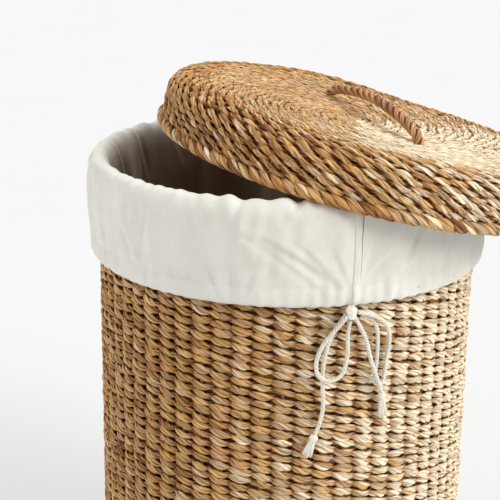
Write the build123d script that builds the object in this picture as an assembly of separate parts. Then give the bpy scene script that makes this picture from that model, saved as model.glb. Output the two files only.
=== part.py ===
from build123d import *
import os
from math import cos, radians, sin, tan

# Round woven laundry basket with a loose cotton liner and a lift-off woven lid.
# Millimetres, +Z up, origin at the middle of the underside. The front, where the
# drawcord is tied, faces -Y. The lid rests tilted on the rim, shifted to +X.

# ---- driving dimensions: basket ----
rim_height = 520.0        # top of the lined rim above the floor
wall_radius = 197.0       # outside of the woven wall
weft_outer = 4.4          # outer layer of weft
stake_diameter = 3.8      # upright stakes, hidden inside the weave
weft_inner = 3.2          # inner layer of weft
layer_gap = 0.2           # air between layers, stakes and cloth
stake_count = 60
foot_height = 16.0        # plaited foot border
rim_border_height = 18.0  # plaited border around the open end
rim_inner_radius = 188.4
rim_outer_radius = 197.5
hoop_diameter = 4.0       # round hoop inside the rim border
base_weft = 4.0           # each of the two woven layers of the base
base_clearance = 2.0      # base above the floor, so that it stands on its foot
base_stick_count = 20

# ---- driving dimensions: liner ----
cloth = 1.4               # cloth stand-in thickness
liner_radius = 184.6      # outside of the bag inside the basket
fold_inner_radius = 186.4 # the cloth's loose fold over the rim
fold_outer_radius = 206.8
cuff_depth = 101.0        # cuff that hangs over the rim, hem included
casing_height = 16.0      # drawcord channel at the cuff's lower edge
casing_radius = 201.0     # middle of the channel
casing_width = 5.4
cord_diameter = 4.0       # cotton drawcord

# ---- driving dimensions: lid ----
lid_radius = 221.0        # outside of the lid's border
lid_wall_radius = 217.0   # outside of the skirt
lid_height = 55.5
lid_dish = 6.0            # middle of the crown below its edge
lid_shoulder = 23.0       # shoulder radius
lid_weft_outer = 4.0
lid_weft_inner = 3.0
lid_stake_diameter = 3.2
lid_stake_count = 30
lid_stake_turn = 2.6      # degrees, so that the handle passes midway between two spokes
lid_border_height = 10.0
lid_tilt = 12.4           # degrees, low side towards the shift
lid_shift = 75.5          # lid axis from the basket's axis
lid_heading = 6.0         # direction of the shift, degrees from +X
lid_drop = 15.0           # middle of the lid's open side below the rim's top
handle_diameter = 11.0    # twisted rope handle
handle_heading = -63.4    # degrees from +X
handle_knot_radius = 11.0
# Half of the rope's middle, from its end in the knot: distance from the lid's axis, height in the lid.
handle_route = [
    (97.0, 36.9), (95.6, 47.0), (91.5, 53.6), (84.0, 57.8), (60.0, 63.2), (30.0, 67.4), (0.0, 68.8),
]


def ring(low_r, high_r, low_z, high_z, corner=0.0):
    """A ring of rectangular section with rounded corners."""
    middle = ((low_r + high_r) / 2, (low_z + high_z) / 2)
    width, height = high_r - low_r, high_z - low_z
    flat = RectangleRounded(width, height, corner) if corner else Rectangle(width, height)
    return revolve(Plane.XZ * Pos(*middle) * flat, Axis.Z)


def around(piece, count):
    """Copies of a piece, evenly spaced around +Z."""
    return [Rot(0, 0, 360 * k / count) * piece for k in range(count)]


def save(name, *pieces):
    """Writes one node; several pieces stay separate solids."""
    solids = [solid for piece in pieces for solid in piece.solids()]
    shape = solids[0] if len(solids) == 1 else Compound(children=solids)
    export_step(shape, f"parts/{name}.step")


# ---- basket ----
wall_bottom = foot_height + layer_gap
border_bottom = rim_height - cloth - 2.0 - rim_border_height
wall_top = border_bottom - layer_gap
stake_radius = wall_radius - weft_outer - layer_gap - stake_diameter / 2
inner_face = stake_radius - stake_diameter / 2 - layer_gap
wall_inside = inner_face - weft_inner


def basket_wall():
    """Two layers of weft with the upright stakes between them."""
    outer = ring(wall_radius - weft_outer, wall_radius, wall_bottom, wall_top)
    inner = ring(wall_inside, inner_face, wall_bottom, wall_top)
    height = wall_top - wall_bottom
    stake = Pos(stake_radius, 0, wall_bottom + height / 2) * Cylinder(stake_diameter / 2, height)
    save("outer_weft", outer)
    save("inner_weft", inner)
    save("stakes", *around(stake, stake_count))


def basket_rim():
    """A rolled border wrapped around a hoop."""
    top = border_bottom + rim_border_height
    border = ring(rim_inner_radius, rim_outer_radius, border_bottom, top, corner=4.5)
    middle = (rim_inner_radius + rim_outer_radius) / 2
    height = (border_bottom + top) / 2
    channel = Pos(0, 0, height) * Torus(middle, hoop_diameter / 2 + layer_gap)
    save("rim_border", border - channel)
    save("rim_hoop", Pos(0, 0, height) * Torus(middle, hoop_diameter / 2))


def basket_base():
    """Radial sticks between two woven layers, inside a plaited foot border."""
    foot_inside = wall_inside - 1.0
    save("foot_border", ring(foot_inside, wall_radius + 1.5, 0, foot_height, corner=3.0))
    edge = foot_inside - layer_gap
    stick_z = base_clearance + base_weft + layer_gap + stake_diameter / 2
    upper_z = stick_z + stake_diameter / 2 + layer_gap
    under = Pos(0, 0, base_clearance + base_weft / 2) * Cylinder(edge, base_weft)
    upper = Pos(0, 0, upper_z + base_weft / 2) * Cylinder(edge, base_weft)
    centre = Pos(0, 0, stick_z) * Cylinder(24.0, stake_diameter)
    start, end = 26.0, edge - 1.0
    stick = Pos((start + end) / 2, 0, stick_z) * Rot(0, 90, 0) * Cylinder(stake_diameter / 2, end - start)
    save("base_under_weave", under)
    save("base_upper_weave", upper)
    save("base_centre", centre)
    save("base_sticks", *around(stick, base_stick_count))
    return upper_z + base_weft


# ---- liner ----
hem_bottom = rim_height - cuff_depth
hem_top = hem_bottom + casing_height


def cuff_face(gap, thickness):
    """Section of the cloth that goes up inside the wall, over the rim and down outside."""
    top = rim_height - cloth
    rim_line = [
        (liner_radius, 0),
        (liner_radius, top - 19),
        (fold_inner_radius - 1.0, top - 12),
        (fold_inner_radius + 0.9, top - 4.6),
        (fold_inner_radius + 5.2, top),
        (fold_outer_radius - 8.7, top),
        (fold_outer_radius - 3.4, top - 4.0),
        (fold_outer_radius, top - 13),
        (fold_outer_radius - 0.2, top - 39),
        (fold_outer_radius - 2.0, top - 68),
        (casing_radius + 0.8, hem_top - 1.0),
        (casing_radius + 0.8, 0),
    ]
    filled = make_face(FilletPolyline(*rim_line, radius=2.5, close=True))
    near = offset(filled, gap) if gap else filled
    return offset(filled, gap + thickness) - near


def liner_panel():
    """The cloth panel: a tube inside the basket, folded out over the rim."""
    floor = base_top + layer_gap + cloth + layer_gap
    section = cuff_face(0.0, cloth)
    split = (fold_inner_radius + fold_outer_radius) / 2
    inside = Pos(split / 2, (floor - 50) / 2) * Rectangle(split, floor + 50)
    outside = Pos(split + 50, (hem_top - 50 + layer_gap) / 2) * Rectangle(100, hem_top + 50 + layer_gap)
    save("liner_panel", revolve(Plane.XZ * (section - inside - outside), Axis.Z))


def liner_bottom():
    """The round bottom of the liner, lying on the base."""
    disc = Pos(0, 0, base_top + layer_gap + cloth / 2) * Cylinder(liner_radius - cloth / 2, cloth)
    save("liner_bottom", disc)


def hem_casing():
    """The turned hem: a channel around the cuff's lower edge with the drawcord in it."""
    low, high = casing_radius - casing_width / 2, casing_radius + casing_width / 2
    channel_z = hem_bottom + casing_height / 2
    body = ring(low, high, hem_bottom, hem_top, corner=2.2)
    channel = Pos(0, 0, channel_z) * Torus(casing_radius, cord_diameter / 2 + layer_gap)
    save("hem_casing", body - channel)
    save("drawcord", Pos(0, 0, channel_z) * Torus(casing_radius, cord_diameter / 2))


def side_seam():
    """The felled seam down the cuff, beside the bow."""
    split = fold_outer_radius - 4.0
    section = cuff_face(cloth + 0.1, 0.8)
    keep = Pos(split + 50, (rim_height - 14 + hem_top + 3) / 2) * Rectangle(
        100, rim_height - 14 - hem_top - 3
    )
    strip = revolve(Plane.XZ * (section & keep), Axis.Z, revolution_arc=2.6)
    save("side_seam", Rot(0, 0, -90 + knot_angle + 1.2) * strip)


# ---- drawcord bow ----
knot_angle = 17.3         # degrees from the front towards +X
knot_height = rim_height - 104.0
knot_out = 10.5           # knot's middle out from the wall
knot_radius = 6.3
end_knot_radius = 4.2
tassel_width = 10.0       # frayed strands below each end knot

# Each route runs from the knot: sideways along the wall, down from the knot's
# middle, and out from the wall.
left_loop = [
    (-4.5, 4.5, 12.5), (-10, 13, 11), (-17.5, 22.5, 9), (-25, 33, 7.8), (-30, 45, 7.5),
    (-31.2, 56, 7.5), (-28.5, 64.4, 7.5), (-21.4, 69.7, 7.5), (-12.6, 69.7, 7.5),
    (-5.5, 64.4, 7.5), (-2.8, 56, 7.5), (-1.2, 45, 7.6), (-1.6, 33, 8), (-2.4, 21.5, 9),
    (-1, 10.5, 10.5),
]
left_tail = [
    (-4, 4, 7.8), (-9, 12.5, 5.5), (-15, 24, 3.6), (-19.6, 36, 3), (-22.4, 50, 3),
    (-23.6, 64, 3), (-23.3, 78, 3), (-21.8, 92, 3), (-22.8, 105, 3.4), (-26, 116.5, 4.4),
    (-30, 126, 5.6),
]
right_loop = [
    (5, 1, 12.5), (12, 2.8, 12.5), (20, 5.8, 12), (28.5, 10.5, 11), (36.2, 17, 8.8),
    (41.6, 26.5, 6.2), (43.8, 37.5, 4.4), (43, 48.5, 3.4), (41.4, 59, 3), (40.5, 69, 3),
    (39.8, 76, 3), (38.2, 79.8, 3), (34.5, 81.3, 3), (30.8, 79.8, 3), (29.3, 76, 3),
    (29.8, 68.5, 3), (31, 58, 3), (31.4, 46.5, 3), (31, 35, 3.6), (29.4, 24, 5),
    (25.4, 14.8, 6.4), (18.6, 9, 7.2), (10, 6, 7.6),
]
right_tail = [
    (3.5, 6.5, 9), (8.5, 14.5, 7.5), (13.5, 23.5, 6.3), (17.8, 33, 5.6), (20.8, 43, 5.3),
    (23.2, 53.5, 5.8), (26.6, 63.5, 6.8), (30.2, 73, 7.6), (33.4, 82, 7.6), (35.6, 89, 7),
]

left_tip = (-37, 147, 6)
right_tip = (39, 114.5, 6)


def on_wall(side, down, out):
    """A place beside the wall, measured from the knot's middle."""
    angle = radians(knot_angle - 90) + side / (wall_radius + 5)
    reach = wall_radius + out
    return Vector(reach * cos(angle), reach * sin(angle), knot_height - down)


def corner_radii(points):
    """The largest even arc at each corner of a route."""
    radii = []
    for before, here, after in zip(points, points[1:], points[2:]):
        into, away = here - before, after - here
        half_turn = radians(into.get_angle(away)) / 2
        radii.append(0.45 * min(into.length, away.length) / tan(half_turn))
    return radii


def cord_path(name, route):
    points = [on_wall(*place) for place in route]
    radii = corner_radii(points)
    path = FilletPolyline(*points, radius=radii)
    print(name, "length", round(path.length, 1), "radii", [round(r, 1) for r in radii])
    return path


def cord_tube(name, route):
    """A cord along straight runs and tangent arcs."""
    path = cord_path(name, route)
    tube = sweep(Plane(origin=path @ 0, z_dir=path % 0) * Circle(cord_diameter / 2), path)
    share = tube.volume / (path.length * Circle(cord_diameter / 2).area)
    print(name, "volume against section times length", round(share, 4))
    save(name, tube)
    return path


def cord_end(side, path, tip):
    """A knot on the end of a tail, and the frayed strands from it down to a tip."""
    knot_middle = path @ 1 + (path % 1) * (end_knot_radius * 0.6)
    save(f"{side}_end_knot", Pos(*knot_middle) * Sphere(end_knot_radius))
    strands = on_wall(*tip) - knot_middle
    start = knot_middle + strands.normalized() * (end_knot_radius * 0.8)
    length = strands.length - end_knot_radius * 0.8
    middle = Plane(origin=start + strands.normalized() * (length / 2), z_dir=strands)
    save(f"{side}_tassel", middle * Cone(tassel_width / 4, tassel_width / 2, length))


def bow():
    """The bow that the drawcord is tied in, just below the hem."""
    save("bow_knot", Pos(*on_wall(0, 0, knot_out)) * Sphere(knot_radius))
    cord_tube("left_loop", left_loop)
    cord_tube("right_loop", right_loop)
    cord_end("left", cord_tube("left_tail", left_tail), left_tip)
    cord_end("right", cord_tube("right_tail", right_tail), right_tip)


# ---- lid, made flat and upright, then placed tilted on the rim ----
lid_stake_depth = lid_weft_outer + layer_gap + lid_stake_diameter / 2
lid_inner_face = lid_stake_depth + lid_stake_diameter / 2 + layer_gap
lid_wall = lid_inner_face + lid_weft_inner
skirt_top = lid_height - lid_shoulder
shoulder_inside = lid_wall_radius - lid_shoulder


def lid_place(piece):
    middle = (
        lid_shift * cos(radians(lid_heading)),
        lid_shift * sin(radians(lid_heading)),
        rim_height - lid_drop,
    )
    return Pos(*middle) * Rot(0, 0, lid_heading) * Rot(0, lid_tilt, 0) * Rot(0, 0, -lid_heading) * piece


def lid_line(depth, bottom):
    """The lid's section at a depth below its outer face, from skirt to middle."""
    skirt = Line((lid_wall_radius - depth, bottom), (lid_wall_radius - depth, skirt_top))
    shoulder = CenterArc((shoulder_inside, skirt_top), lid_shoulder - depth, 0, 90)
    edge, middle = (shoulder_inside, lid_height - depth), (0, lid_height - lid_dish - depth)
    crown = Spline(edge, middle, tangents=[(-1, 0), (-1, 0)])
    return skirt, shoulder, crown


def lid_layer(outer, inner, bottom):
    """One woven layer of the lid between two depths."""
    out, back = lid_line(outer, bottom), lid_line(inner, bottom)
    at_skirt = Line(out[0] @ 0, back[0] @ 0)
    at_middle = Line(out[2] @ 1, back[2] @ 1)
    face = make_face(Wire([*out, at_middle, *back, at_skirt]))
    return revolve(Plane.XZ * face, Axis.Z)


def lid_weave():
    bottom = lid_border_height + layer_gap
    save("lid_outer_weft", lid_place(lid_layer(0, lid_weft_outer, bottom)))
    save("lid_inner_weft", lid_place(lid_layer(lid_inner_face, lid_wall, bottom)))


def lid_stakes():
    """Spokes from near the middle, bent down the skirt."""
    bottom = lid_border_height + layer_gap
    start_radius = 26.0
    skirt, shoulder, crown = lid_line(lid_stake_depth, bottom)
    path = Plane.XZ * Wire([skirt, shoulder, crown])
    section = Plane(origin=path @ 0, z_dir=path % 0) * Circle(lid_stake_diameter / 2)
    middle_hole = Pos(0, 0, lid_height / 2) * Cylinder(start_radius, 4 * lid_height)
    spoke = sweep(section, path) - middle_hole
    spokes = Compound(children=around(spoke, lid_stake_count))
    save("lid_stakes", lid_place(Rot(0, 0, lid_stake_turn) * spokes))
    centre_z = lid_height - lid_dish - lid_stake_depth
    thickness = lid_stake_diameter - 0.8
    save("lid_centre", lid_place(Pos(0, 0, centre_z) * Cylinder(start_radius - 2, thickness)))


def lid_border():
    """The plaited border around the lid's open side, with a hoop in it."""
    low_r, middle_z = lid_wall_radius - lid_wall + 1.5, lid_border_height / 2
    middle_r = (low_r + lid_radius) / 2
    body = ring(low_r, lid_radius, 0, lid_border_height, corner=4.4)
    channel = Pos(0, 0, middle_z) * Torus(middle_r, 2.0 + layer_gap)
    save("lid_border", lid_place(body - channel))
    save("lid_hoop", lid_place(Pos(0, 0, middle_z) * Torus(middle_r, 2.0)))


def lid_handle():
    """A rope lying low over the crown, held by a knot below at each end."""
    far_half = [(-reach, 0, height) for reach, height in handle_route]
    near_half = [(reach, 0, height) for reach, height in reversed(handle_route[:-1])]
    path = Spline(far_half + near_half)
    section = Plane(origin=path @ 0, z_dir=path % 0) * Circle(handle_diameter / 2)
    turn = Rot(0, 0, handle_heading)
    save("handle_rope", lid_place(turn * sweep(section, path)))
    knot_z = lid_height - lid_wall - 3.2 - handle_knot_radius
    knot = Pos(handle_route[0][0], 0, knot_z) * Sphere(handle_knot_radius)
    save("handle_knots", lid_place(turn * Compound(children=around(knot, 2))))


os.makedirs("parts", exist_ok=True)
basket_wall()
basket_rim()
base_top = basket_base()
liner_panel()
liner_bottom()
hem_casing()
side_seam()
bow()
lid_weave()
lid_stakes()
lid_border()
lid_handle()
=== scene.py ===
from math import cos, pi, radians, sin

import bpy
import numpy as np
from mathutils import Matrix, Vector


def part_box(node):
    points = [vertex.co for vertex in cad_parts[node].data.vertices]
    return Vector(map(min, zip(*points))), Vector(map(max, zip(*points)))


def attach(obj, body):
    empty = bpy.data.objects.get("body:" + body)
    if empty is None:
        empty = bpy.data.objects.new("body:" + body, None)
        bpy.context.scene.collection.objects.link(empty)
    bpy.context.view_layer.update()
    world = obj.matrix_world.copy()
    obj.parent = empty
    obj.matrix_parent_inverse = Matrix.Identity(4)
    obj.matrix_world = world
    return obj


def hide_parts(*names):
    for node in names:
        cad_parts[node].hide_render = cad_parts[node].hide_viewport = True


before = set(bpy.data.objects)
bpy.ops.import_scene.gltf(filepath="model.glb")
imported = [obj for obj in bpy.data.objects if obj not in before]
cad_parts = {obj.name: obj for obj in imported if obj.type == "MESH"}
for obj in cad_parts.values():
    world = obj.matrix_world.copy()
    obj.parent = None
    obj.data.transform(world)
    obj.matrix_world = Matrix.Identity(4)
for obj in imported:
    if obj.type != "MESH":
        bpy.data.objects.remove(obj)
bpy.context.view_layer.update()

MM = 0.001

# ---- sizes and places, from the frame ----
wall_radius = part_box("outer_weft")[1].x
wall_low, wall_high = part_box("outer_weft")[0].z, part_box("outer_weft")[1].z
stake_count = 60
crest_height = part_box("liner_panel")[1].z
hem_low, hem_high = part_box("hem_casing")[0].z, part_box("hem_casing")[1].z
knot_middle = (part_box("bow_knot")[0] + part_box("bow_knot")[1]) / 2
knot_degrees, seam_degrees = 17.3, 19.4      # from the front towards +X
knot_angle = radians(knot_degrees)
painted_light_side = radians(-28.0)    # painted light: the grass is paler on the side facing the key light; its angle from +X towards the front
cuff_radius = 207.0 * MM
stitch_line = 19.5 * MM        # the hem's stitches above the cuff's edge
cord_width = 4.0 * MM

lid_tilt, lid_heading = radians(12.4), radians(6.0)
lid_turn = (
    Matrix.Rotation(lid_heading, 4, "Z")
    @ Matrix.Rotation(lid_tilt, 4, "Y")
    @ Matrix.Rotation(-lid_heading, 4, "Z")
)
lid_wall_radius = 217.0 * MM
lid_height = 55.5 * MM
lid_border_height = 10.0 * MM
hoop_middle = (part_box("lid_hoop")[0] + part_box("lid_hoop")[1]) / 2
lid_middle = hoop_middle - (lid_turn @ Vector((0, 0, lid_border_height / 2)))
lid_place = Matrix.Translation(lid_middle) @ lid_turn
handle_heading = radians(-63.4)

leaf_count = 3                 # leaves twisted into one strand of weft
points_per_stitch = 8
most_stitches = 660            # in one piece, over all its strands
lining_pitch, lining_depth = 5.6 * MM, 9.6 * MM


# ---- camera ----
def make_camera():
    """In front of the basket, above its rim, looking slightly down."""
    yaw, pitch, roll = radians(1.558), radians(17.566), radians(0.764)
    data = bpy.data.cameras.new("camera")
    data.lens = 99.7
    data.clip_end = 60.0
    cam = bpy.data.objects.new("camera", data)
    bpy.context.scene.collection.objects.link(cam)
    cam.matrix_world = (
        Matrix.Translation((0, -1.4, crest_height + 0.3331))
        @ Matrix.Rotation(yaw, 4, "Z")
        @ Matrix.Rotation(pi / 2 - pitch, 4, "X")
        @ Matrix.Rotation(roll, 4, "Z")
    )
    bpy.context.scene.camera = cam


# ---- meshes ----
def unit(vectors):
    return vectors / np.maximum(np.linalg.norm(vectors, axis=-1, keepdims=True), 1e-12)


def placed(points, matrix):
    """Points moved by a matrix."""
    m = np.array(matrix)
    return points @ m[:3, :3].T + m[:3, 3]


def polar(radius, angle, height):
    """Places or directions from their distance from the axis, angle and height."""
    return np.stack(np.broadcast_arrays(radius * np.cos(angle), radius * np.sin(angle), height), axis=-1)


def evenly_round(count):
    """Angles evenly spaced round a full turn."""
    return 2 * pi * np.arange(count) / count


def distances(line):
    """How far along a line each of its points is."""
    return np.concatenate([[0], np.cumsum(np.linalg.norm(np.diff(line, axis=0), axis=1))])


def new_piece(name, points, faces, look, body, caps=()):
    """A smooth mesh object of four-cornered faces, with flat caps, that rides a body."""
    mesh = bpy.data.meshes.new(name)
    corners = np.concatenate([np.asarray(faces).ravel(), *[np.asarray(c) for c in caps]])
    totals = np.array([4] * len(faces) + [len(c) for c in caps])
    starts = np.concatenate([[0], np.cumsum(totals)[:-1]])
    mesh.vertices.add(len(points))
    mesh.vertices.foreach_set("co", np.asarray(points, np.float32).ravel())
    mesh.loops.add(len(corners))
    mesh.loops.foreach_set("vertex_index", corners.astype(np.int32))
    mesh.polygons.add(len(totals))
    mesh.polygons.foreach_set("loop_start", starts.astype(np.int32))
    mesh.update(calc_edges=True)
    mesh.polygons.foreach_set("use_smooth", np.ones(len(totals), bool))
    mesh.materials.append(look)
    piece = bpy.data.objects.new(name, mesh)
    bpy.context.scene.collection.objects.link(piece)
    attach(piece, body)
    return piece


def store(piece, label, values):
    """A number, or three, for each point of a piece, for its material."""
    values = np.asarray(values, np.float32)
    if values.size == 3 * len(piece.data.vertices):
        made = piece.data.attributes.new(label, "FLOAT_VECTOR", "POINT")
        made.data.foreach_set("vector", values.ravel())
    else:
        made = piece.data.attributes.new(label, "FLOAT", "POINT")
        made.data.foreach_set("value", values.ravel())


def strand_piece(name, centre, out, wide, deep, tone, shade_lift, look, body, slot,
                 closed=True, sides=8, ridge=0.1, place=None, groove_shade=0.32):
    """Flattened strands. centre and out are (strands, points, 3); wide and deep are half sizes."""
    strands, count = centre.shape[:2]
    if closed:
        step = np.roll(centre, -1, axis=1) - np.roll(centre, 1, axis=1)
    else:
        step = np.gradient(centre, axis=1)
    forward = unit(step)
    across = unit(np.cross(forward, out))
    out = np.cross(across, forward)
    wide, deep, tone, shade_lift = (np.broadcast_to(v, (strands, count)) for v in (wide, deep, tone, shade_lift))
    length = np.cumsum(np.linalg.norm(step, axis=-1), axis=1) / 2
    turn = evenly_round(sides)
    offset = np.arange(strands)[:, None, None] * 2.4
    swell = 1 + ridge * np.cos(3 * turn[None, None] - length[..., None] * 2 * pi / 0.024 + offset)
    u = wide[..., None] * np.cos(turn) * swell
    v = deep[..., None] * np.sin(turn) * swell
    points = centre[:, :, None] + across[:, :, None] * u[..., None] + out[:, :, None] * v[..., None]
    index = np.arange(strands * count * sides).reshape(strands, count, sides)
    here = index if closed else index[:, :-1]
    ahead = np.roll(index, -1, axis=1) if closed else index[:, 1:]
    beside = [np.roll(a, -1, axis=2) for a in (here, ahead)]
    faces = np.stack([here, ahead, beside[1], beside[0]], axis=-1).reshape(-1, 4)
    caps = [] if closed else [*index[:, 0], *index[:, -1, ::-1]]
    points = points.reshape(-1, 3)
    if place is not None:
        points = place(points)
    piece = new_piece(name, points, faces, look, body, caps)
    shift = np.arange(strands)[:, None] * 0.37
    lengthwise = np.broadcast_to((length + shift)[..., None], u.shape)
    store(piece, "strand", np.stack([lengthwise, u, v], axis=-1).reshape(-1, 3))
    store(piece, "tone", np.repeat(tone[..., None], sides, axis=2))
    # painted shade: each strand darker towards the sides and back of its section, and where it stands low
    store(piece, "shade_lift", shade_lift[..., None] * (1 - groove_shade + groove_shade * np.sin(turn)))
    return piece


def leaves(centre, out, wide, deep, roll):
    """Each strand as leaves twisted together: their middles, outward directions and half sizes."""
    step = np.roll(centre, -1, axis=1) - np.roll(centre, 1, axis=1)
    across = unit(np.cross(step, out))
    outward = unit(np.cross(across, step))
    middles, shares = [], []
    for k in range(leaf_count):
        turn = roll + 2 * pi * k / leaf_count
        side, proud = np.cos(turn), np.sin(turn)
        middles.append(centre + across * (0.56 * wide * side)[..., None]
                       + outward * (0.5 * deep * proud)[..., None])
        shares.append(0.47 + 0.11 * proud)
    share = np.concatenate(shares)
    times = (leaf_count, 1)
    return (np.concatenate(middles), np.tile(out, (leaf_count, 1, 1)), np.tile(wide, times) * share,
            np.tile(deep, times) * 0.6)


def ripple(angle, low, high, seed, other=0.0, rate=0.0, count=9):
    """Smooth noise round the basket: waves with whole numbers of turns, about 1 high."""
    random = np.random.default_rng(seed)
    turns = random.integers(low, high + 1, count)
    phase = random.uniform(0, 2 * pi, count)
    size = random.uniform(0.5, 1, count)
    drift = random.uniform(-rate, rate, count)
    total = sum(
        s * np.sin(t * angle + p + d * other) for s, t, p, d in zip(size, turns, phase, drift)
    )
    return total / np.sqrt((size ** 2).sum() / 2) * 0.7


def smooth_line(corners, count):
    """Points along a smooth line through corners, evenly spaced."""
    corners = np.asarray(corners, float)
    ends = np.concatenate([[2 * corners[0] - corners[1]], corners, [2 * corners[-1] - corners[-2]]])
    fine = []
    for a, b, c, d in zip(ends, ends[1:], ends[2:], ends[3:]):
        t = np.linspace(0, 1, 24, endpoint=False)[:, None]
        fine.append(0.5 * (2 * b + (c - a) * t + (2 * a - 5 * b + 4 * c - d) * t ** 2
                           + (3 * b - a - 3 * c + d) * t ** 3))
    fine = np.concatenate([*fine, corners[-1:]])
    along = distances(fine)
    at = np.linspace(0, along[-1], count)
    return np.stack([np.interp(at, along, fine[:, k]) for k in range(corners.shape[1])], axis=1)


# ---- materials ----
def new_look(name, roughness, specular=0.3):
    look = bpy.data.materials.new(name)
    look.use_nodes = True
    shader = look.node_tree.nodes["Principled BSDF"]
    shader.inputs["Roughness"].default_value = roughness
    shader.inputs["Specular IOR Level"].default_value = specular
    return look, look.node_tree, shader


def add_node(tree, kind, inputs=(), **settings):
    """A shader node; inputs are (socket, value or output socket) pairs."""
    made = tree.nodes.new("ShaderNode" + kind)
    for key, value in settings.items():
        setattr(made, key, value)
    for socket, value in inputs:
        if isinstance(value, bpy.types.NodeSocket):
            tree.links.new(value, made.inputs[socket])
        else:
            made.inputs[socket].default_value = value
    return made


def ramp(tree, factor, stops):
    """Colours or greys by a factor."""
    made = add_node(tree, "ValToRGB", [("Fac", factor)])
    while len(made.color_ramp.elements) < len(stops):
        made.color_ramp.elements.new(0.5)
    for element, (position, colour) in zip(made.color_ramp.elements, stops):
        element.position = position
        element.color = (*colour, 1) if hasattr(colour, "__len__") else (colour, colour, colour, 1)
    return made.outputs["Color"]


def srgb(red, green, blue):
    """A colour as a screen shows it, 0 to 255, in linear numbers."""
    return tuple(((c / 255 + 0.055) / 1.055) ** 2.4 for c in (red, green, blue))


def mix(tree, factor, a, b, blend="MIX"):
    made = add_node(tree, "MixRGB", [("Fac", factor), ("Color1", a), ("Color2", b)], blend_type=blend)
    return made.outputs["Color"]


def noise(tree, vector, scale, detail=3.0, roughness=0.55):
    made = add_node(tree, "TexNoise", [("Vector", vector), ("Scale", scale), ("Detail", detail),
                                       ("Roughness", roughness)])
    return made.outputs["Fac"]


def stretched(tree, vector, scale):
    made = add_node(tree, "Mapping", [("Vector", vector), ("Scale", scale)])
    return made.outputs["Vector"]


def attribute(tree, label, output="Fac"):
    return add_node(tree, "Attribute", attribute_name=label).outputs[output]


def paint(tree, shader, colour, height, strength, distance):
    """Gives a shader its colour and a bump."""
    tree.links.new(colour, shader.inputs["Base Color"])
    bump = add_node(tree, "Bump", [("Strength", strength), ("Distance", distance), ("Height", height)])
    tree.links.new(bump.outputs["Normal"], shader.inputs["Normal"])


def plant_look(name, stops):
    """Dried seagrass or rope: each leaf its own colour, streaks along it, painted shade where it dives."""
    look, tree, shader = new_look(name, 0.6)
    strand = attribute(tree, "strand", "Vector")
    broad = noise(tree, stretched(tree, strand, (32, 640, 640)), 1.0, 2.0, 0.5)
    fine = noise(tree, stretched(tree, strand, (70, 1900, 1900)), 1.0, 2.0, 0.6)
    blotch = noise(tree, stretched(tree, strand, (60, 150, 150)), 1.0, 2.0)
    varied = add_node(tree, "Math", [(0, blotch), (1, 0.4), (2, -0.2)], operation="MULTIPLY_ADD")
    tone = add_node(tree, "Math", [(0, attribute(tree, "tone")), (1, varied.outputs[0])], operation="ADD")
    base = ramp(tree, tone.outputs[0], stops)
    base = mix(tree, 1.0, base, ramp(tree, broad, [(0.34, 0.5), (0.5, 0.98), (0.66, 1.34)]), "MULTIPLY")
    base = mix(tree, 1.0, base, ramp(tree, fine, [(0.36, 0.78), (0.62, 1.1)]), "MULTIPLY")
    # painted shade: dark brown where a strand dives under its neighbours or turns its side away
    shade = ramp(tree, attribute(tree, "shade_lift"), [
        (0.0, (0.3, 0.15, 0.07)), (0.34, (0.46, 0.28, 0.16)), (0.62, (0.8, 0.68, 0.56)), (0.95, 1.0)])
    paint(tree, shader, mix(tree, 1.0, base, shade, "MULTIPLY"), mix(tree, 0.4, broad, fine), 0.8, 1.2 * MM)
    tree.links.new(ramp(tree, fine, [(0.3, 0.72), (0.7, 0.46)]), shader.inputs["Roughness"])
    return look


seagrass_stops = [
    (0.00, srgb(114, 72, 44)),
    (0.12, srgb(158, 106, 60)),
    (0.26, srgb(192, 140, 78)),
    (0.40, srgb(208, 164, 98)),
    (0.52, srgb(204, 156, 116)),
    (0.64, srgb(220, 180, 110)),
    (0.78, srgb(217, 181, 146)),
    (0.90, srgb(238, 213, 170)),
    (1.00, srgb(252, 236, 206)),
]
rope_stops = [
    (0.0, srgb(140, 94, 62)),
    (0.3, srgb(186, 136, 90)),
    (0.6, srgb(212, 166, 118)),
    (1.0, srgb(236, 200, 154)),
]


def cloth_look():
    """Thin plain-woven cotton, off-white; inside the liner it gets a brown tint of painted shade."""
    look, tree, shader = new_look("cotton", 0.85, 0.15)
    place = attribute(tree, "cloth", "Vector")
    warp, weft = (
        add_node(tree, "TexWave", [("Vector", place), ("Scale", 330.0), ("Distortion", 1.2),
                                   ("Detail", 2.0), ("Detail Scale", 0.5)], bands_direction=axis)
        for axis in "XY"
    )
    threads = mix(tree, 0.5, warp.outputs["Color"], weft.outputs["Color"])
    slub = noise(tree, stretched(tree, place, (900, 60, 1)), 1.0, 2.0)
    patch = ramp(tree, noise(tree, place, 26.0, 3.0), [(0.35, 0.0), (0.7, 1.0)])
    base = mix(tree, patch, (*srgb(236, 233, 224), 1), (*srgb(227, 223, 212), 1))
    slubbed = mix(tree, 0.10, base, ramp(tree, slub, [(0.35, 0.6), (0.65, 1.0)]), "MULTIPLY")
    # painted shade: the off-white cloth tinted brown by its shade attribute
    coloured = mix(tree, attribute(tree, "shade"), slubbed, (*srgb(190, 163, 132), 1))
    paint(tree, shader, coloured, threads, 0.25, 0.3 * MM)
    shader.inputs["Sheen Weight"].default_value = 0.25
    shader.inputs["Sheen Roughness"].default_value = 0.5
    return look


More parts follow.
